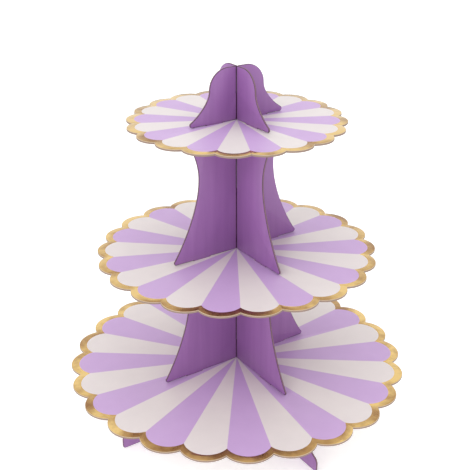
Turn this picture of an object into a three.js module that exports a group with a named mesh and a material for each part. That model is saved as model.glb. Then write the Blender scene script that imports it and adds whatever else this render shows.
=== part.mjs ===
// A three-tier cake stand of printed card. Three scalloped discs rest on crosses of
// slotted cards: a base cross, two column crosses, and a small crest on the top disc.
// Millimetres, +Z up, with the origin on the table at the stand's axis.
import * as THREE from 'three';

// Board and clearances
const CARD_BOARD = 1.5;        // thickness of the purple cards
const DISC_BOARD = 1.8;        // thickness of the printed discs
const SEAT_GAP = 0.3;          // between edges that rest on each other
const SLOT_CLEARANCE = 0.4;    // each side of a card in its partner's cross slot
const SLIT_CLEARANCE = 0.3;    // each side of a tab in a slit or a notch

// Card heights, without their tabs
const BASE_HEIGHT = 48.9;
const LOWER_COLUMN_HEIGHT = 108.6;
const UPPER_COLUMN_HEIGHT = 113.6;
const CREST_HEIGHT = 44;

// Where the two cross slots meet, above the cards' bottom edge
const BASE_MEET = 24;
const LOWER_COLUMN_MEET = 19;
const UPPER_COLUMN_MEET = 56;
const CREST_MEET = 22;

// Tabs lock a card through the disc under it, into the card below that
const TAB_REACH = 6;           // below the disc's underside
const TAB_LENGTH = 16;
const TAB_LEAD = 1.5;          // chamfer on a tab's corners
const LOWER_COLUMN_TAB = 38;   // where each tab starts, from the axis
const UPPER_COLUMN_TAB = 28;
const CREST_TAB = 14;

// Discs: radius to the petals' tips, and how far each petal bulges past its two notches
const BOTTOM_DISC = { petals: 24, radius: 150.4, bulge: 9.6 };
const MIDDLE_DISC = { petals: 22, radius: 120.4, bulge: 8.0 };
const TOP_DISC = { petals: 20, radius: 90.5, bulge: 6.3 };

// Card edges, as distances from the axis, and from the top edge down.
// toe: the foot's end. Its corner on the floor has tipRadius, and it is upright from there to
// toeTop above the bottom edge, where toeRadius rounds it into the flank.
// waist: the narrowest place, waistDrop below the top edge. shoulder: the top corner.
// topRadius: the crest's round corner, which starts at its waist.
const BASE_EDGE = { toe: 120, tipRadius: 2.5, toeTop: 8, toeRadius: 6, waist: 97, waistDrop: 8, shoulder: 99 };
const LOWER_COLUMN_EDGE = {
  toe: 75, tipRadius: 2, toeTop: 2, toeRadius: 2, waist: 49.5, waistDrop: 33, shoulder: 63,
};
const UPPER_COLUMN_EDGE = {
  toe: 63, tipRadius: 2, toeTop: 2, toeRadius: 2, waist: 37.5, waistDrop: 42, shoulder: 51,
};
const CREST_EDGE = { toe: 45, tipRadius: 2, toeTop: 2, toeRadius: 2, waist: 26.3, topRadius: 17 };

const PETAL_STEPS = 10;        // straight steps in each petal's arc
const EDGE_STEPS = 10;         // and in each curve of a card's edge

const PURPLE_CARD = { color: 0x9466b0, roughness: 0.45, metalness: 0 };
const PRINTED_DISC = { color: 0xd9c7ea, roughness: 0.5, metalness: 0 };

// The round toe, then the hollow flank up to the waist
function addFlank(path, { toe, tipRadius, toeTop, toeRadius, waist }, waistHeight) {
  const rise = waistHeight - toeTop;
  path.lineTo(toe - tipRadius, 0);
  path.absarc(toe - tipRadius, tipRadius, tipRadius, -Math.PI / 2, 0, false);
  path.lineTo(toe, toeTop);
  path.absarc(toe - toeRadius, toeTop, toeRadius, 0, Math.PI / 3, false);
  path.bezierCurveTo(
    toe - 0.5 * (toe - waist), toeTop + 0.28 * rise,
    waist, waistHeight - 0.32 * rise,
    waist, waistHeight);
}

// A column spreads again above its waist
function addShoulder(path, { waist, waistDrop, shoulder }, top) {
  path.bezierCurveTo(
    waist, top - 0.64 * waistDrop,
    waist + 0.48 * (shoulder - waist), top - 0.38 * waistDrop,
    shoulder, top);
}

// The crest has nothing to carry and ends in round corners
function addRoundTop(path, { waist, topRadius }, top) {
  path.absarc(waist - topRadius, top - topRadius, topRadius, 0, Math.PI / 2, false);
}

// A tab hangs from the bottom edge and passes through the disc
function addTab(path, start) {
  const end = start + TAB_LENGTH;
  const tip = -(SEAT_GAP + DISC_BOARD + TAB_REACH);
  path.lineTo(start, 0);
  path.lineTo(start, tip + TAB_LEAD);
  path.lineTo(start + TAB_LEAD, tip);
  path.lineTo(end - TAB_LEAD, tip);
  path.lineTo(end, tip + TAB_LEAD);
  path.lineTo(end, 0);
}

// A notch in the top edge takes the tab of the card above
function addNotch(path, start, top) {
  const inner = start - SLIT_CLEARANCE;
  const outer = start + TAB_LENGTH + SLIT_CLEARANCE;
  const floor = top + SEAT_GAP - TAB_REACH - SLIT_CLEARANCE;
  path.lineTo(outer, top);
  path.lineTo(outer, floor);
  path.lineTo(inner, floor);
  path.lineTo(inner, top);
}

// Half of a card's outline, counter-clockwise from the axis at the bottom to the axis at the
// top. slotOpens is 'up' for the card that stands under, 'down' for the one that drops over it.
function halfCard({ height, meet, edge, tab, notch, slotOpens }) {
  const halfSlot = CARD_BOARD / 2 + SLOT_CLEARANCE;
  const path = new THREE.Path();
  if (slotOpens === 'down') {
    path.moveTo(0, meet + SEAT_GAP / 2);
    path.lineTo(halfSlot, meet + SEAT_GAP / 2);
    path.lineTo(halfSlot, 0);
  } else {
    path.moveTo(0, 0);
  }
  if (tab) addTab(path, tab);
  if (edge.topRadius) {
    addFlank(path, edge, height - edge.topRadius);
    addRoundTop(path, edge, height);
  } else {
    addFlank(path, edge, height - edge.waistDrop);
    addShoulder(path, edge, height);
  }
  if (notch) addNotch(path, notch, height);
  if (slotOpens === 'up') {
    path.lineTo(halfSlot, height);
    path.lineTo(halfSlot, meet - SEAT_GAP / 2);
    path.lineTo(0, meet - SEAT_GAP / 2);
  } else {
    path.lineTo(0, height);
  }
  return path.getPoints(EDGE_STEPS);
}

// The whole outline, its left half the mirror image of its right
function cardShape(card) {
  const right = halfCard(card);
  const left = right.slice(1, -1).reverse().map(({ x, y }) => new THREE.Vector2(-x, y));
  return new THREE.Shape([...right, ...left]);
}

// The petals are equal arcs that meet in notches, with the first petal centred on +X
function discShape({ petals, radius, bulge }, slitStart) {
  const halfStep = Math.PI / petals;
  const halfChord = (radius - bulge) * Math.tan(halfStep);
  const arcRadius = (halfChord ** 2 + bulge ** 2) / (2 * bulge);
  const halfArc = Math.asin(halfChord / arcRadius);
  const shape = new THREE.Shape();
  for (let petal = 0; petal < petals; petal += 1) {
    const middle = 2 * halfStep * petal;
    const centre = new THREE.Vector2(radius - arcRadius, 0).rotateAround(new THREE.Vector2(), middle);
    for (let step = 0; step < PETAL_STEPS; step += 1) {
      const angle = middle + halfArc * (2 * step / PETAL_STEPS - 1);
      const x = centre.x + arcRadius * Math.cos(angle);
      const y = centre.y + arcRadius * Math.sin(angle);
      if (petal === 0 && step === 0) shape.moveTo(x, y);
      else shape.lineTo(x, y);
    }
  }
  for (let quarter = 0; quarter < 4; quarter += 1) shape.holes.push(slit(slitStart, quarter));
  return shape;
}

// A slit for one tab, a quarter turn on from the last
function slit(start, quarter) {
  const inner = start - SLIT_CLEARANCE;
  const outer = start + TAB_LENGTH + SLIT_CLEARANCE;
  const side = CARD_BOARD / 2 + SLIT_CLEARANCE;
  const corners = [[inner, -side], [outer, -side], [outer, side], [inner, side]];
  const turn = quarter * Math.PI / 2;
  const axis = new THREE.Vector2();
  return new THREE.Path(corners.map(([x, y]) => new THREE.Vector2(x, y).rotateAround(axis, turn)));
}

function cardMesh(name, card) {
  const geometry = new THREE.ExtrudeGeometry(cardShape(card), { depth: CARD_BOARD, bevelEnabled: false });
  geometry.translate(0, 0, -CARD_BOARD / 2);
  geometry.rotateX(Math.PI / 2);
  const mesh = new THREE.Mesh(geometry, new THREE.MeshStandardMaterial(PURPLE_CARD));
  mesh.name = name;
  return mesh;
}

// Two cards cross at the axis: the under card along X, and the over card along Y
function cross(name, tier, floor) {
  const under = cardMesh(`${name}_card_under`, { ...tier, slotOpens: 'up' });
  const over = cardMesh(`${name}_card_over`, { ...tier, slotOpens: 'down' });
  over.rotation.z = Math.PI / 2;
  const group = new THREE.Group();
  group.add(under, over);
  group.position.z = floor;
  return group;
}

function disc(name, size, slitStart, floor) {
  const options = { depth: DISC_BOARD, bevelEnabled: false };
  const geometry = new THREE.ExtrudeGeometry(discShape(size, slitStart), options);
  const mesh = new THREE.Mesh(geometry, new THREE.MeshStandardMaterial(PRINTED_DISC));
  mesh.name = name;
  mesh.position.z = floor;
  return mesh;
}

// Each level stands on the one before it, with a seat gap between
const DISC_STEP = SEAT_GAP + DISC_BOARD + SEAT_GAP;
const LOWER_COLUMN_FLOOR = BASE_HEIGHT + DISC_STEP;
const UPPER_COLUMN_FLOOR = LOWER_COLUMN_FLOOR + LOWER_COLUMN_HEIGHT + DISC_STEP;
const CREST_FLOOR = UPPER_COLUMN_FLOOR + UPPER_COLUMN_HEIGHT + DISC_STEP;

const BASE = { height: BASE_HEIGHT, meet: BASE_MEET, edge: BASE_EDGE, notch: LOWER_COLUMN_TAB };
const LOWER_COLUMN = {
  height: LOWER_COLUMN_HEIGHT,
  meet: LOWER_COLUMN_MEET,
  edge: LOWER_COLUMN_EDGE,
  tab: LOWER_COLUMN_TAB,
  notch: UPPER_COLUMN_TAB,
};
const UPPER_COLUMN = {
  height: UPPER_COLUMN_HEIGHT,
  meet: UPPER_COLUMN_MEET,
  edge: UPPER_COLUMN_EDGE,
  tab: UPPER_COLUMN_TAB,
  notch: CREST_TAB,
};
const CREST = { height: CREST_HEIGHT, meet: CREST_MEET, edge: CREST_EDGE, tab: CREST_TAB };

const stand = new THREE.Group();
stand.add(
  cross('base', BASE, 0),
  disc('bottom_disc', BOTTOM_DISC, LOWER_COLUMN_TAB, BASE_HEIGHT + SEAT_GAP),
  cross('lower_column', LOWER_COLUMN, LOWER_COLUMN_FLOOR),
  disc('middle_disc', MIDDLE_DISC, UPPER_COLUMN_TAB, LOWER_COLUMN_FLOOR + LOWER_COLUMN_HEIGHT + SEAT_GAP),
  cross('upper_column', UPPER_COLUMN, UPPER_COLUMN_FLOOR),
  disc('top_disc', TOP_DISC, CREST_TAB, UPPER_COLUMN_FLOOR + UPPER_COLUMN_HEIGHT + SEAT_GAP),
  cross('crest', CREST, CREST_FLOOR),
);

export default stand;
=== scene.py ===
# %% [markdown]
# # A three-tier cake stand of printed card
# The stand is flat-packed: three scalloped discs, and eight cards that cross in pairs to hold
# the discs apart. This script loads the measured frame of the stand, then models each disc and
# card again with clean edges and real finishes, in the same place and at the same size.

# %% Load the frame
from math import asin, cos, pi, radians, sin, tan

import bmesh
import bpy
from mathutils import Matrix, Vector


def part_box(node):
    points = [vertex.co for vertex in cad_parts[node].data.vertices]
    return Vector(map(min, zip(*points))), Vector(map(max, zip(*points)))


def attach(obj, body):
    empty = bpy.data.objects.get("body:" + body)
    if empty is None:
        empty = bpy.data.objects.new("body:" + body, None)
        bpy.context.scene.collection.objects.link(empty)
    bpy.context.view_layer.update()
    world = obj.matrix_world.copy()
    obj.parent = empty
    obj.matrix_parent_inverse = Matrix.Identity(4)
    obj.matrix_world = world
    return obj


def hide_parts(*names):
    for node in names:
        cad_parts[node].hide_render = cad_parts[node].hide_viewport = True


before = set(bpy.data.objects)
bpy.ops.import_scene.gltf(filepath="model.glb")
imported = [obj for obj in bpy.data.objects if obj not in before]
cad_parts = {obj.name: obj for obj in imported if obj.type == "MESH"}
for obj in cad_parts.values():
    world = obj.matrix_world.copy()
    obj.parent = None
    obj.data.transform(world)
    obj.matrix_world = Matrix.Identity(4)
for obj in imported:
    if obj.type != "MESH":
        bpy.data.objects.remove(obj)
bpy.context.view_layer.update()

# %% [markdown]
# Sizes of board are given in millimetres, as a maker of card stands would, and turned into
# metres where a mesh is made. Anything that the frame already knows, such as a disc's radius
# or a card's height, is read from the frame, so that it is never out of step.

# %% Sizes of board and cuts
MM = 0.001
CARD_BOARD = 1.5        # thickness of the purple cards
DISC_BOARD = 1.8        # thickness of the printed discs
CARD_BEVEL = 0.32       # the soft corner that a cutting die leaves along each edge
DISC_BEVEL = 0.3
TAB_LENGTH = 16
TAB_LEAD = 1.5          # chamfer on a tab's corners
TAB_REACH = 6           # a tab's length below the disc
SEAT_GAP = 0.3          # between edges that rest on each other
SLOT_CLEARANCE = 0.4    # each side of a card in its partner's cross slot
SLIT_CLEARANCE = 0.3    # each side of a tab in a slit or a notch
print("boards", CARD_BOARD, "and", DISC_BOARD, "mm")

# %% [markdown]
# ## Camera
# The camera stands at the front left, 0.7 m from the stand's axis and half a metre up, and looks
# down a little. Its place is worked out from the way it faces, that distance and that height,
# because those three are easier to judge than coordinates.

# %% Camera
CAMERA_AZIMUTH = radians(-34.3)
CAMERA_DISTANCE = 0.6988
CAMERA_HEIGHT = 0.494
CAMERA_PITCH = radians(24.58)
CAMERA_YAW = radians(0.12)
CAMERA_LENS = 68.2
CAMERA_SENSOR = 36

bpy.ops.object.select_all(action="DESELECT")
bpy.ops.object.camera_add(
    location=(
        CAMERA_DISTANCE * sin(CAMERA_AZIMUTH),
        -CAMERA_DISTANCE * cos(CAMERA_AZIMUTH),
        CAMERA_HEIGHT,
    ),
    rotation=(pi / 2 - CAMERA_PITCH, 0, CAMERA_AZIMUTH + CAMERA_YAW),
)
camera = bpy.context.object
camera.name = "camera"
camera.data.lens = CAMERA_LENS
camera.data.sensor_width = CAMERA_SENSOR
bpy.context.scene.camera = camera
print("camera at", tuple(round(value, 3) for value in camera.location))

# %% [markdown]
# ## Finishes
# Every finish here is a small network of nodes. What several of them share is made once, as a
# node group with named inputs, and each material places the group with its own values. These
# three helpers add a node, make an empty group and place a group, to keep the networks short.

# %% Node helpers
def add_node(tree, kind, **values):
    """Adds a node, sets its settings, and fills its inputs, whose names start with a capital."""
    node = tree.nodes.new(kind)
    for name, value in values.items():
        if name[0].isupper():
            node.inputs[name.replace("_", " ")].default_value = value
        else:
            setattr(node, name, value)
    return node


def new_group(name, inputs, outputs):
    """An empty shader group with number or vector inputs, and outputs of the kinds given."""
    tree = bpy.data.node_groups.new(name, "ShaderNodeTree")
    for label, value in inputs.items():
        kind = "NodeSocketVector" if isinstance(value, tuple) else "NodeSocketFloat"
        tree.interface.new_socket(label, in_out="INPUT", socket_type=kind).default_value = value
    for label, kind in outputs.items():
        tree.interface.new_socket(label, in_out="OUTPUT", socket_type=kind)
    return tree, tree.nodes.new("NodeGroupInput"), tree.nodes.new("NodeGroupOutput")


def use_group(tree, group, **values):
    """Places a group in a material and fills its inputs."""
    node = tree.nodes.new("ShaderNodeGroup")
    node.node_tree = group
    for name, value in values.items():
        node.inputs[name.replace("_", " ")].default_value = value
    return node


# %% [markdown]
# Paper print is never one flat colour: the fibres under it catch the light, and the ink lies a
# little thicker here and there. Fine noise makes the fibres, as a bump, and coarse noise makes
# the mottle, which can be stretched into streaks. Both read Object coordinates, so that the
# grain stays on the piece when the piece is lifted.

# %% Paper grain
paper_grain, group_in, group_out = new_group(
    "paper_grain",
    {
        "Fibre Scale": 1500.0,
        "Mottle Scale": 60.0,
        "Stretch": (1.0, 1.0, 1.0),
        "Depth": 0.00003,
    },
    {"Mottle": "NodeSocketFloat", "Normal": "NodeSocketVector"},
)
place = add_node(paper_grain, "ShaderNodeTexCoord")
fibres = add_node(paper_grain, "ShaderNodeTexNoise", Detail=3.0, Roughness=0.6)
stretch = add_node(paper_grain, "ShaderNodeVectorMath", operation="MULTIPLY")
mottle = add_node(paper_grain, "ShaderNodeTexNoise", Detail=4.0, Roughness=0.55)
bump = add_node(paper_grain, "ShaderNodeBump", Strength=1.0)
link = paper_grain.links.new
link(place.outputs["Object"], fibres.inputs["Vector"])
link(place.outputs["Object"], stretch.inputs[0])
link(group_in.outputs["Stretch"], stretch.inputs[1])
link(stretch.outputs["Vector"], mottle.inputs["Vector"])
link(group_in.outputs["Fibre Scale"], fibres.inputs["Scale"])
link(group_in.outputs["Mottle Scale"], mottle.inputs["Scale"])
link(group_in.outputs["Depth"], bump.inputs["Distance"])
link(fibres.outputs["Fac"], bump.inputs["Height"])
link(mottle.outputs["Fac"], group_out.inputs["Mottle"])
link(bump.outputs["Normal"], group_out.inputs["Normal"])
print("group", paper_grain.name)

# %% [markdown]
# Where two cards cross in a slot, the narrow groove between them lies in shade, and that shade is
# painted as a dark line down both faces. All the slots lie on the stand's axis, so the mark is a
# mask of the distance from that axis, made a little ragged with noise.

# %% Painted slot shade
painted_slot_shade, group_in, group_out = new_group(
    "painted_slot_shade",
    {"Full": 0.0015, "Clear": 0.0021, "Ragged": 0.0005},
    {"Mask": "NodeSocketFloat"},
)
place = add_node(painted_slot_shade, "ShaderNodeTexCoord")
flatten = add_node(painted_slot_shade, "ShaderNodeVectorMath", operation="MULTIPLY")
flatten.inputs[1].default_value = (1, 1, 0)
from_axis = add_node(painted_slot_shade, "ShaderNodeVectorMath", operation="LENGTH")
ragged = add_node(painted_slot_shade, "ShaderNodeTexNoise", Scale=400.0, Detail=2.0)
spread = add_node(painted_slot_shade, "ShaderNodeMath", operation="MULTIPLY")
wander = add_node(painted_slot_shade, "ShaderNodeMath", operation="ADD")
fade = add_node(
    painted_slot_shade, "ShaderNodeMapRange", interpolation_type="SMOOTHSTEP", To_Min=1.0, To_Max=0.0)
link = painted_slot_shade.links.new
link(place.outputs["Object"], flatten.inputs[0])
link(flatten.outputs["Vector"], from_axis.inputs[0])
link(place.outputs["Object"], ragged.inputs["Vector"])
link(ragged.outputs["Fac"], spread.inputs[0])
link(group_in.outputs["Ragged"], spread.inputs[1])
link(from_axis.outputs["Value"], wander.inputs[0])
link(spread.outputs["Value"], wander.inputs[1])
link(wander.outputs["Value"], fade.inputs["Value"])
link(group_in.outputs["Full"], fade.inputs["From Min"])
link(group_in.outputs["Clear"], fade.inputs["From Max"])
link(fade.outputs["Result"], group_out.inputs["Mask"])
print("group", painted_slot_shade.name)

# %% [markdown]
# The purple of the cards and the lilac and white of the discs are the same kind of print: ink
# under a satin varnish, which is a thin clear coat. One function makes them all, and they differ
# in colour and roughness. Each colour is a pair: the ink, and the ink where it lies thick.

# %% Printed paper
VARNISH = 0.12
VARNISH_ROUGHNESS = 0.3
SMOOTHER = 0.05         # how far the roughness drifts either way with the mottle
ROUGHER = 0.07


def printed_paper(name, inks, roughness, slot_shade=None, **grain_values):
    """Satin print, whose colour and roughness drift a little with the ink; optional painted slot
    shade.
    """
    material = bpy.data.materials.new(name)
    material.use_nodes = True
    tree = material.node_tree
    shader = tree.nodes["Principled BSDF"]
    shader.inputs["Coat Weight"].default_value = VARNISH
    shader.inputs["Coat Roughness"].default_value = VARNISH_ROUGHNESS
    grain = use_group(tree, paper_grain, **grain_values)
    colour = add_node(tree, "ShaderNodeMix", data_type="RGBA")
    for socket, ink in zip("AB", inks):
        colour.inputs[socket].default_value = (*ink, 1)
    sheen = add_node(
        tree, "ShaderNodeMapRange", To_Min=roughness - SMOOTHER, To_Max=roughness + ROUGHER)
    tree.links.new(grain.outputs["Mottle"], colour.inputs["Factor"])
    tree.links.new(grain.outputs["Mottle"], sheen.inputs["Value"])
    print_colour = colour.outputs["Result"]
    # Painted shade: a dark line down the faces near the axis, where the crossing groove lies in
    # shade.
    if slot_shade:
        shaded = add_node(tree, "ShaderNodeMix", data_type="RGBA")
        shaded.inputs["B"].default_value = (*slot_shade, 1)
        tree.links.new(use_group(tree, painted_slot_shade).outputs["Mask"], shaded.inputs["Factor"])
        tree.links.new(print_colour, shaded.inputs["A"])
        print_colour = shaded.outputs["Result"]
    tree.links.new(print_colour, shader.inputs["Base Color"])
    tree.links.new(sheen.outputs["Result"], shader.inputs["Roughness"])
    tree.links.new(grain.outputs["Normal"], shader.inputs["Normal"])
    return material


# %% [markdown]
# The purple sheets were coated by a roller that ran up and down them, so their mottle is drawn
# out into faint upright streaks. They also carry painted shade along the slots, where the cards
# cross. The bevel between a card's face and its cut takes a near-black colour of its own. The
# discs' undersides are lined with plain paper, which is the same kind of sheet with no gloss.

# %% Inks and papers
PURPLE_INK = ((0.345, 0.154, 0.41), (0.262, 0.112, 0.325))
# The colour of the painted shade along the slots, laid over the purple print near the axis.
SLOT_SHADE_COLOUR = (0.05, 0.015, 0.04)
DARK_BEVEL_COLOUR = ((0.035, 0.012, 0.03), (0.06, 0.025, 0.055))
LILAC_INK = ((0.59, 0.40, 0.69), (0.54, 0.355, 0.64))
WHITE_INK = ((0.775, 0.715, 0.70), (0.72, 0.66, 0.655))
LINER_PAPER = ((0.76, 0.71, 0.65), (0.69, 0.64, 0.57))
STREAKS = {"Mottle_Scale": 170.0, "Stretch": (1.0, 1.0, 0.08)}

purple_print = printed_paper("purple_print", PURPLE_INK, 0.40, slot_shade=SLOT_SHADE_COLOUR, **STREAKS)
dark_bevel = printed_paper("dark_bevel", DARK_BEVEL_COLOUR, 0.6)
lilac_print = printed_paper("lilac_print", LILAC_INK, 0.42)
white_print = printed_paper("white_print", WHITE_INK, 0.42)
disc_liner = printed_paper("disc_liner", LINER_PAPER, 0.7)
print("prints", purple_print.name, lilac_print.name, white_print.name, disc_liner.name)

# %% [markdown]
# ## Gold foil
# The border of each disc is hot-stamped foil. It is a mirror with faults: the roller leaves fine
# ripples, and the foil lies on paper whose fibres show through. Patches of its colour are painted
# dark brown, as a painted reflection of dark things round it. So it is a metal whose colour,
# roughness and normal change from place to place. Plain yellow paint would look like plastic,
# because gold is known by what it mirrors.

# %% Gold foil
BRIGHT_GOLD = (0.85, 0.60, 0.24, 1)
# Painted reflection: the dark brown put on the foil's patches, in place of dark things it mirrors.
DARK_REFLECTION_GOLD = (0.36, 0.19, 0.08, 1)

gold_foil = bpy.data.materials.new("gold_foil")
gold_foil.use_nodes = True
tree = gold_foil.node_tree
shader = tree.nodes["Principled BSDF"]
shader.inputs["Metallic"].default_value = 1.0
place = add_node(tree, "ShaderNodeTexCoord")
ripples = add_node(tree, "ShaderNodeTexNoise", Scale=90.0, Detail=2.0, Roughness=0.5)
rolled = add_node(tree, "ShaderNodeBump", Strength=0.35, Distance=0.00012)
grain = use_group(
    tree, paper_grain, Fibre_Scale=900.0, Mottle_Scale=35.0, Depth=0.000008)
# The mottle places the painted reflection, and the same patches make the foil a little hazier.
patches = add_node(tree, "ShaderNodeMapRange", From_Min=0.40, From_Max=0.66)
tone = add_node(tree, "ShaderNodeMix", data_type="RGBA")
tone.inputs["A"].default_value = BRIGHT_GOLD
tone.inputs["B"].default_value = DARK_REFLECTION_GOLD
haze = add_node(tree, "ShaderNodeMapRange", To_Min=0.1, To_Max=0.3)
link = tree.links.new
link(place.outputs["Object"], ripples.inputs["Vector"])
link(ripples.outputs["Fac"], rolled.inputs["Height"])
link(grain.outputs["Normal"], rolled.inputs["Normal"])
link(grain.outputs["Mottle"], patches.inputs["Value"])
link(patches.outputs["Result"], tone.inputs["Factor"])
link(patches.outputs["Result"], haze.inputs["Value"])
link(tone.outputs["Result"], shader.inputs["Base Color"])
link(haze.outputs["Result"], shader.inputs["Roughness"])
link(rolled.outputs["Normal"], shader.inputs["Normal"])
print("foil", gold_foil.name)

# %% [markdown]
# ## Cut edges
# A cut edge shows what the board is made of: thin layers of pulp pressed together. The layers
# run along the edge and are fine across the thickness, so the noise is stretched along two
# directions and squeezed along the third, which is the way through the board.

# %% Board layers
board_layers, group_in, group_out = new_group(
    "board_layers",
    {"Squeeze": (200.0, 200.0, 4000.0), "Depth": 0.0001},
    {"Layer": "NodeSocketFloat", "Normal": "NodeSocketVector"},
)
place = add_node(board_layers, "ShaderNodeTexCoord")
squeeze = add_node(board_layers, "ShaderNodeVectorMath", operation="MULTIPLY")
pulp = add_node(board_layers, "ShaderNodeTexNoise", Scale=1.0, Detail=4.0, Roughness=0.65)
bump = add_node(board_layers, "ShaderNodeBump", Strength=0.6)
link = board_layers.links.new
link(place.outputs["Object"], squeeze.inputs[0])
link(group_in.outputs["Squeeze"], squeeze.inputs[1])
link(squeeze.outputs["Vector"], pulp.inputs["Vector"])
link(group_in.outputs["Depth"], bump.inputs["Distance"])
link(pulp.outputs["Fac"], bump.inputs["Height"])
link(pulp.outputs["Fac"], group_out.inputs["Layer"])
link(bump.outputs["Normal"], group_out.inputs["Normal"])
print("group", board_layers.name)

# %% [markdown]
# The layers of an under card are stacked along Y, those of an over card along X, and those of a
# disc along Z, so each has its own edge. The cards are cut from a mauve-grey board and the discs
# from a brown one. The top corner of a disc shows the paler sheet that the print is on.

# %% Cut edge materials
ALONG = 200.0           # the scale of the noise along the layers, and through them
THROUGH = 4000.0
RAW_ROUGHNESS = 0.9


def cut_edge(name, squeeze, pale, dark):
    """Raw board, seen where it was cut."""
    material = bpy.data.materials.new(name)
    material.use_nodes = True
    tree = material.node_tree
    shader = tree.nodes["Principled BSDF"]
    shader.inputs["Roughness"].default_value = RAW_ROUGHNESS
    layers = use_group(tree, board_layers, Squeeze=squeeze)
    colour = add_node(tree, "ShaderNodeMix", data_type="RGBA")
    colour.inputs["A"].default_value = (*dark, 1)
    colour.inputs["B"].default_value = (*pale, 1)
    tree.links.new(layers.outputs["Layer"], colour.inputs["Factor"])
    tree.links.new(colour.outputs["Result"], shader.inputs["Base Color"])
    tree.links.new(layers.outputs["Normal"], shader.inputs["Normal"])
    return material


CARD_PULP = ((0.34, 0.20, 0.24), (0.16, 0.09, 0.13))
DISC_PULP = ((0.38, 0.27, 0.22), (0.20, 0.14, 0.11))
SHEET_PULP = ((0.66, 0.52, 0.36), (0.50, 0.38, 0.25))
under_card_edge = cut_edge("under_card_edge", (ALONG, THROUGH, ALONG), *CARD_PULP)
over_card_edge = cut_edge("over_card_edge", (THROUGH, ALONG, ALONG), *CARD_PULP)
disc_edge = cut_edge("disc_edge", (ALONG, ALONG, THROUGH), *DISC_PULP)
sheet_edge = cut_edge("sheet_edge", (ALONG, ALONG, THROUGH), *SHEET_PULP)
print("edges", under_card_edge.name, over_card_edge.name, disc_edge.name, sheet_edge.name)

# %% [markdown]
# ## Drawing an outline by hand
# Every piece of this stand is cut from flat board, so each one starts as a drawn line. A plane
# collapsed to one vertex is the pencil point. Extruding that vertex again and again draws
# straight lines and curves, and spinning it draws an arc of a circle.

# %% Pencil
def pencil_at(place):
    """Puts one selected vertex at a place, in the mesh that is being edited."""
    bpy.ops.mesh.select_all(action="DESELECT")
    bpy.ops.mesh.primitive_plane_add(size=MM, location=(0, 0, 0))
    bpy.ops.mesh.merge(type="COLLAPSE")
    bpy.ops.transform.translate(value=place)


def new_drawing(name):
    """A new empty mesh in edit mode."""
    bpy.ops.object.select_all(action="DESELECT")
    bpy.ops.mesh.primitive_plane_add(size=MM, location=(0, 0, 0))
    piece = bpy.context.object
    piece.name = name
    bpy.ops.object.mode_set(mode="EDIT")
    bpy.ops.mesh.select_mode(type="VERT")
    bpy.ops.mesh.select_all(action="SELECT")
    bpy.ops.mesh.delete(type="VERT")
    return piece


def draw_through(points):
    """Draws on from the selected vertex, which is the first point, through the rest."""
    for here, there in zip(points, points[1:]):
        bpy.ops.mesh.extrude_vertices_move(TRANSFORM_OT_translate={"value": there - here})


# %% [markdown]
# An operator acts on whatever is selected. So the part that it should act on is found by a test
# on its place or its direction, after everything else is deselected.


# %% Selecting by a test
def select_where(piece, is_wanted):
    """Selects the vertices whose place passes a test, and the faces between them."""
    mesh = bmesh.from_edit_mesh(piece.data)
    bpy.ops.mesh.select_all(action="DESELECT")
    for vertex in mesh.verts:
        vertex.select = is_wanted(vertex.co)
    mesh.select_flush(True)
    bmesh.update_edit_mesh(piece.data)


def select_faces_where(piece, is_wanted):
    """Selects the faces that pass a test, and nothing else."""
    mesh = bmesh.from_edit_mesh(piece.data)
    bpy.ops.mesh.select_all(action="DESELECT")
    for face in mesh.faces:
        face.select_set(is_wanted(face))
    bmesh.update_edit_mesh(piece.data)


# %% [markdown]
# ## Finishing a flat piece
# Both kinds of piece end the same way: the drawing gets its thickness, a narrow bevel softens
# the cut, and smooth shading is kept for the curved walls only. A Bevel modifier is used and not
# the bevel tool, because it finds every sharp edge by its angle.

# %% Finishing helpers
BEVEL_STEPS = 2
SMOOTH_BELOW = radians(30)


def apply_modifier(piece, kind, **settings):
    """Adds a modifier, sets it up and applies it."""
    modifier = piece.modifiers.new(kind.lower(), kind)
    for name, value in settings.items():
        setattr(modifier, name, value)
    bpy.context.view_layer.objects.active = piece
    bpy.ops.object.modifier_apply(modifier=modifier.name)


def thicken(direction):
    """Extrudes the whole drawing into a board, with its faces turned outwards."""
    bpy.ops.mesh.select_all(action="SELECT")
    bpy.ops.mesh.extrude_region_move(TRANSFORM_OT_translate={"value": direction})
    bpy.ops.mesh.select_all(action="SELECT")
    bpy.ops.mesh.normals_make_consistent(inside=False)


def soften_cut(piece, bevel):
    """A narrow bevel along every cut, and smooth shading along the curved walls."""
    apply_modifier(
        piece, "BEVEL", width=bevel * MM, segments=BEVEL_STEPS, limit_method="ANGLE")
    bpy.ops.object.select_all(action="DESELECT")
    piece.select_set(True)
    bpy.context.view_layer.objects.active = piece
    bpy.ops.object.shade_smooth_by_angle(angle=SMOOTH_BELOW)


def place_on_frame(piece, node, body):
    """The piece stands for a node of the frame, and moves with its body."""
    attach(piece, body)
    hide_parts(node)
    print(piece.name, len(piece.data.polygons), "faces, for", node)


# %% [markdown]
# ## The cards
# A card's outline is the same left and right, so half of it is drawn and then mirrored. It runs
# from the axis along the bottom edge and its tab, round the toe, up the hollow flank past the
# waist, and back along the top edge and its notch. Widths are measured from the axis, and drop
# is how far the waist lies below the top edge, all in millimetres. The two slots of a cross end
# at the height called meet.

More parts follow.
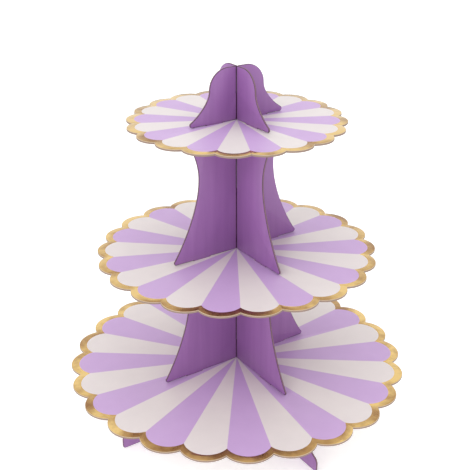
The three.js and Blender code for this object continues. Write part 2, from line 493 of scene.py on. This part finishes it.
# %% Card sizes
CARDS = {
    "base": dict(
        toe=120, tip_radius=2.5, toe_top=8, toe_radius=6,
        waist=97, drop=8, shoulder=99, meet=24, notch=38),
    "lower_column": dict(
        toe=75, tip_radius=2, toe_top=2, toe_radius=2,
        waist=49.5, drop=33, shoulder=63, meet=19, tab=38, notch=28),
    "upper_column": dict(
        toe=63, tip_radius=2, toe_top=2, toe_radius=2,
        waist=37.5, drop=42, shoulder=51, meet=56, tab=28, notch=14),
    "crest": dict(
        toe=45, tip_radius=2, toe_top=2, toe_radius=2,
        waist=26.3, drop=17, meet=22, tab=14),
}
TAB_DEPTH = SEAT_GAP + DISC_BOARD + TAB_REACH
print("crosses", ", ".join(CARDS))

# %% [markdown]
# Two kinds of curve are enough for a card. An arc rounds its corners. A Bezier curve makes the
# hollow flanks: it leaves one end towards one pull and comes to the other end from a second pull,
# as with a curve's handles.


# %% Curves of an outline
def arc(across, up, radius, start, end, steps=8):
    """Points along an arc, from one angle to another, in degrees."""
    angles = [radians(start + (end - start) * step / steps) for step in range(steps + 1)]
    return [(across + radius * cos(angle), up + radius * sin(angle)) for angle in angles]


def bezier(start, pull_out, pull_in, end, steps=24):
    """Points along a Bezier curve, without its first."""
    points = []
    for step in range(1, steps + 1):
        t = step / steps
        weights = ((1 - t) ** 3, 3 * t * (1 - t) ** 2, 3 * t * t * (1 - t), t ** 3)
        corners = (start, pull_out, pull_in, end)
        point = [sum(w * c[axis] for w, c in zip(weights, corners)) for axis in (0, 1)]
        points.append(tuple(point))
    return points


# %% [markdown]
# The outer edge is what gives the stand its shape. The toe is blunt, so that it doesn't crumple.
# The flank sweeps in to the waist, and a column spreads again to its shoulder, to carry the disc
# above near its edge. The crest carries nothing and ends in round corners.

# %% Outer edge of a card
FLANK_PULL_OUT = (0.5, 0.28)        # shares of a flank's width and rise
FLANK_PULL_IN = 0.32
SHOULDER_PULL_OUT = 0.64            # shares of a shoulder's rise, and of its width and rise
SHOULDER_PULL_IN = (0.48, 0.38)
ROUND_STEPS = 24


def outer_edge(card, height):
    """The round toe, the hollow flank, and the shoulder or the crest's round corner."""
    toe, toe_top, toe_round = card["toe"], card["toe_top"], card["toe_radius"]
    tip, waist, drop = card["tip_radius"], card["waist"], card["drop"]
    waist_up = height - drop
    rise = waist_up - toe_top
    points = arc(toe - tip, tip, tip, -90, 0)
    upper_round = arc(toe - toe_round, toe_top, toe_round, 0, 60)
    points += upper_round if toe_top > tip else upper_round[1:]
    points += bezier(
        points[-1],
        (toe - FLANK_PULL_OUT[0] * (toe - waist), toe_top + FLANK_PULL_OUT[1] * rise),
        (waist, waist_up - FLANK_PULL_IN * rise),
        (waist, waist_up),
    )
    if "shoulder" not in card:
        return points + arc(waist - drop, waist_up, drop, 0, 90, steps=ROUND_STEPS)[1:]
    spread = card["shoulder"] - waist
    return points + bezier(
        (waist, waist_up),
        (waist, height - SHOULDER_PULL_OUT * drop),
        (waist + SHOULDER_PULL_IN[0] * spread, height - SHOULDER_PULL_IN[1] * drop),
        (card["shoulder"], height),
    )


# %% [markdown]
# The rest of the outline is what locks the stand together. A slot half as wide again as the board
# takes the partner card, a tab hangs from the bottom edge to pass through the disc below, and a
# notch in the top edge takes the tab of the card above.


# %% Half of a card's outline
def half_outline(card, height, slot_opens):
    """From the axis at the bottom to the axis at the top, round the right-hand side."""
    half_slot = CARD_BOARD / 2 + SLOT_CLEARANCE
    slot_end = card["meet"] + SEAT_GAP / 2 * (1 if slot_opens == "down" else -1)
    points = [(0, 0)]
    if slot_opens == "down":
        points = [(0, slot_end), (half_slot, slot_end), (half_slot, 0)]
    if "tab" in card:
        start, end = card["tab"], card["tab"] + TAB_LENGTH
        points += [(start, 0), (start, TAB_LEAD - TAB_DEPTH), (start + TAB_LEAD, -TAB_DEPTH)]
        points += [(end - TAB_LEAD, -TAB_DEPTH), (end, TAB_LEAD - TAB_DEPTH), (end, 0)]
    points += outer_edge(card, height)
    if "notch" in card:
        start = card["notch"] - SLIT_CLEARANCE
        end = card["notch"] + TAB_LENGTH + SLIT_CLEARANCE
        floor = height + SEAT_GAP - TAB_REACH - SLIT_CLEARANCE
        points += [(end, height), (end, floor), (start, floor), (start, height)]
    if slot_opens == "down":
        return points + [(0, height)]
    return points + [(half_slot, height), (half_slot, slot_end), (0, slot_end)]


# %% [markdown]
# The half outline is drawn with the pencil and filled with one face. A Mirror modifier adds the
# other half, so that the two can't differ, and extruding gives the board its thickness. Each face
# takes its finish from the way it points: print along the thickness, raw board on the cuts, and
# the dark corner on the bevels between them. An over card is drawn like an under card and turned.

# %% Making a card
FLAT = 0.95             # a normal's share along the thickness, at least this on a printed face
UPRIGHT = 0.05          # and at most this on a cut wall
MIRROR_WELD = 0.01 * MM
PRINT, CORNER, RAW = range(3)


def make_card(cross, layer, slot_opens, edge_material):
    """Draws, mirrors, fills and thickens one card, and turns an over card across."""
    node, card = f"{cross}_card_{layer}", CARDS[cross]
    low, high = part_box(node)
    bottom = low[2] / MM + (TAB_DEPTH if "tab" in card else 0)
    outline = half_outline(card, high[2] / MM - bottom, slot_opens)
    back = -CARD_BOARD / 2
    points = [Vector((across, back, bottom + up)) * MM for across, up in outline]
    piece = new_drawing(f"{cross}_{layer}_board")
    pencil_at(points[0])
    draw_through(points)
    bpy.ops.mesh.select_all(action="SELECT")
    bpy.ops.mesh.edge_face_add()
    bpy.ops.object.mode_set(mode="OBJECT")
    apply_modifier(piece, "MIRROR", merge_threshold=MIRROR_WELD)
    bpy.ops.object.mode_set(mode="EDIT")
    thicken((0, CARD_BOARD * MM, 0))
    bpy.ops.object.mode_set(mode="OBJECT")
    soften_cut(piece, CARD_BEVEL)
    for material in (purple_print, dark_bevel, edge_material):
        piece.data.materials.append(material)
    for face in piece.data.polygons:
        tilt = abs(face.normal.y)
        face.material_index = PRINT if tilt > FLAT else CORNER if tilt > UPRIGHT else RAW
    if layer == "over":
        piece.rotation_euler.z = pi / 2
    bpy.ops.object.transform_apply(location=True, rotation=True, scale=True)
    place_on_frame(piece, node, f"{cross}_{layer}")


for cross in CARDS:
    make_card(cross, "under", "up", under_card_edge)
    make_card(cross, "over", "down", over_card_edge)

# %% [markdown]
# ## The discs
# Each tier is a disc with a scalloped edge. Its print repeats in pairs of petals, one with a
# lilac wedge and one with a white, both inside a border of gold foil. So one pair is drawn, and
# the pair is spun round the axis. The print is cut into the mesh, and each colour is its own
# material, so that the joins stay sharp from any distance. The values are how far each petal
# bulges past its notches, the width of the foil at a petal's tip, how far the foil's inner edge
# bulges, and where the slits start.

# %% Disc sizes
DISCS = {
    "bottom": dict(petals=24, bulge=9.6, foil=7.1, foil_bulge=10.9, slit=38),
    "middle": dict(petals=22, bulge=8.0, foil=6.6, foil_bulge=9.1, slit=28),
    "top": dict(petals=20, bulge=6.3, foil=6.6, foil_bulge=7.4, slit=14),
}
PETAL_STEPS = 24
WELD = 0.005 * MM       # points closer than this become one
DISC_FACES = (lilac_print, white_print, gold_foil, sheet_edge, disc_edge, disc_liner)
LILAC, WHITE, GOLD, SHEET, CUT, LINER = range(len(DISC_FACES))
print("discs", ", ".join(DISCS))

# %% [markdown]
# A petal's outer edge is an arc of a circle, and so is the inner edge of its foil, which meets
# its neighbours in sharper cusps. An arc is found from its tip and from how far it bulges past
# its two ends, then drawn by spinning the pencil point. The spin operator turns clockwise, seen
# from above, so an angle that runs the other way is negative.


# %% Drawing an arc of a petal
def spin_copies(steps, angle, centre=0.0, copies=False):
    """Spins what is selected counter-clockwise about an upright axis."""
    bpy.ops.mesh.spin(
        steps=steps, angle=-angle, center=(centre, 0, 0), axis=(0, 0, 1), dupli=copies)


def draw_petal_arc(petals, tip, bulge, height):
    """Draws the arc of the petal that is centred on +X."""
    end = tip - bulge
    half_chord = end * tan(pi / petals)
    arc_radius = (half_chord ** 2 + bulge ** 2) / (2 * bulge)
    pencil_at((end * MM, -half_chord * MM, height))
    spin_copies(PETAL_STEPS, 2 * asin(half_chord / arc_radius), (tip - arc_radius) * MM)


# %% [markdown]
# The wedge comes first: the inner arc's edges are extruded, shrunk to a point on the axis, and
# dissolved into one face. Then the outer arc is drawn, and the bridge operator fills the strip
# of foil between the two arcs. Each part gets its material at once, and the copies keep it.


# %% One petal
def colour_selected(piece, material):
    """Gives the selected faces a material, by its number on the piece."""
    piece.active_material_index = material
    bpy.ops.object.material_slot_assign()


def draw_petal(piece, disc, radius, height):
    """The wedge and the foil strip of the petal that is centred on +X."""
    petals = disc["petals"]
    draw_petal_arc(petals, radius - disc["foil"], disc["foil_bulge"], height)
    bpy.ops.mesh.select_all(action="SELECT")
    bpy.ops.mesh.extrude_edges_move()
    bpy.ops.transform.resize(value=(0, 0, 1), center_override=(0, 0, height))
    bpy.ops.mesh.select_all(action="SELECT")
    bpy.ops.mesh.remove_doubles(threshold=WELD)
    bpy.ops.mesh.dissolve_faces()
    colour_selected(piece, LILAC)
    draw_petal_arc(petals, radius, disc["bulge"], height)
    select_where(piece, lambda place: place.xy.length > WELD)
    bpy.ops.mesh.bridge_edge_loops()
    colour_selected(piece, GOLD)


# %% [markdown]
# A copy of the petal, one step on, becomes the white one of the pair. Then the pair is spun with
# the spin operator's copies turned on, and the copies are welded where they meet.


# %% The whole ring of petals
def draw_petals(piece, disc, radius, height):
    """Copies the lilac petal as a white one, then spins the pair all the way round."""
    step = 2 * pi / disc["petals"]
    pairs = disc["petals"] // 2
    draw_petal(piece, disc, radius, height)
    bpy.ops.mesh.select_all(action="SELECT")
    spin_copies(1, step, copies=True)
    select_faces_where(
        piece,
        lambda face: face.material_index == LILAC and face.calc_center_median().y > WELD,
    )
    colour_selected(piece, WHITE)
    bpy.ops.mesh.select_all(action="SELECT")
    spin_copies(pairs - 1, 2 * step * (pairs - 1), copies=True)
    bpy.ops.mesh.select_all(action="SELECT")
    bpy.ops.mesh.remove_doubles(threshold=WELD)


# %% [markdown]
# Four slits let the tabs of the cross above through. One block is placed where a slit goes and
# spun to the other three places, and a Boolean modifier then cuts the four blocks out of the disc.
# Cutting after the petals are drawn keeps the wedges whole and the print in register.

# %% Cutting the slits
BLOCK_HEIGHT = 3        # times the disc's thickness, to pass right through


def cut_slits(piece, start, low, high):
    """Cuts four slits through a disc, at quarter turns."""
    bpy.ops.object.select_all(action="DESELECT")
    bpy.ops.mesh.primitive_cube_add(size=1, location=(0, 0, 0))
    blocks = bpy.context.object
    bpy.ops.object.mode_set(mode="EDIT")
    length = (TAB_LENGTH + 2 * SLIT_CLEARANCE) * MM
    width = (CARD_BOARD + 2 * SLIT_CLEARANCE) * MM
    bpy.ops.transform.resize(value=(length, width, BLOCK_HEIGHT * (high - low)))
    middle = (start + TAB_LENGTH / 2) * MM
    bpy.ops.transform.translate(value=(middle, 0, (low + high) / 2))
    spin_copies(3, 1.5 * pi, copies=True)
    bpy.ops.object.mode_set(mode="OBJECT")
    apply_modifier(
        piece, "BOOLEAN", object=blocks, operation="DIFFERENCE", solver="EXACT")
    bpy.data.objects.remove(blocks)


# %% [markdown]
# A disc is its ring of petals at the height of its top face, extruded down to its underside. The
# print's colours are already on the top, so only the faces that point another way are coloured
# now: the liner below, raw board on the cuts, and the pale sheet on the top corner.


# %% Making a disc
def make_disc(level):
    """Draws, thickens and slits one disc, and colours its underside and its cuts."""
    node, disc = f"{level}_disc", DISCS[level]
    low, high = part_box(node)
    piece = new_drawing(f"{level}_disc_board")
    for material in DISC_FACES:
        piece.data.materials.append(material)
    draw_petals(piece, disc, high[0] / MM, high[2])
    thicken((0, 0, low[2] - high[2]))
    bpy.ops.object.mode_set(mode="OBJECT")
    cut_slits(piece, disc["slit"], low[2], high[2])
    soften_cut(piece, DISC_BEVEL)
    for face in piece.data.polygons:
        if face.normal.z < -FLAT:
            face.material_index = LINER
        elif face.normal.z < UPRIGHT:
            face.material_index = CUT
        elif face.normal.z < FLAT:
            face.material_index = SHEET
    place_on_frame(piece, node, f"{level}_tier")


for level in DISCS:
    make_disc(level)

# %% [markdown]
# ## Floor
# The stand is on a plain pale floor. A white sweep in a studio has lamps of its own, so the floor
# gives off a little light too, which keeps it white and lifts the undersides of the discs.

# %% Floor
FLOOR_SIZE = 12
FLOOR_WHITE = (0.9, 0.9, 0.9, 1)
FLOOR_ROUGHNESS = 0.9
FLOOR_GLOW = 0.35

bpy.ops.object.select_all(action="DESELECT")
bpy.ops.mesh.primitive_plane_add(size=FLOOR_SIZE, location=(0, 0, 0))
floor = bpy.context.object
floor.name = "floor"
floor_paint = bpy.data.materials.new("floor_paint")
floor_paint.use_nodes = True
shader = floor_paint.node_tree.nodes["Principled BSDF"]
shader.inputs["Base Color"].default_value = FLOOR_WHITE
shader.inputs["Roughness"].default_value = FLOOR_ROUGHNESS
shader.inputs["Emission Color"].default_value = (1, 1, 1, 1)
shader.inputs["Emission Strength"].default_value = FLOOR_GLOW
floor.data.materials.append(floor_paint)
print("floor", FLOOR_SIZE, "m")

# %% [markdown]
# ## Light
# Most of the light is an even white from all round, as in a light tent, so that no shadow is hard.
# Three large soft lamps add shape: the key from the left, a weak fill from the front right and one
# from above. The Standard view shows each colour as it was mixed, where the usual film-like view
# would grey the white floor and dull the print.

# %% Light
ROOM_LIGHT = 1.0
LAMP_AIM = Vector((0, 0, 0.16))     # the middle of the stand

bpy.context.scene.view_settings.view_transform = "Standard"
world = bpy.data.worlds.new("studio")
bpy.context.scene.world = world
world.use_nodes = True
background = world.node_tree.nodes["Background"]
background.inputs["Color"].default_value = (1, 1, 1, 1)
background.inputs["Strength"].default_value = ROOM_LIGHT


def softbox(name, place, size, power):
    """A square area light that faces the middle of the stand."""
    aim = LAMP_AIM - Vector(place)
    turn = aim.to_track_quat("-Z", "Y").to_euler()
    bpy.ops.object.light_add(type="AREA", location=place, rotation=turn)
    lamp = bpy.context.object
    lamp.name = name
    lamp.data.size = size
    lamp.data.energy = power


softbox("key_light", (-1.8, -0.6, 1.4), 1.6, 12)
softbox("fill_light", (0.7, -1.6, 1.0), 1.6, 1)
softbox("top_light", (0.1, -0.1, 2.0), 1.2, 2.5)
print("lights set")
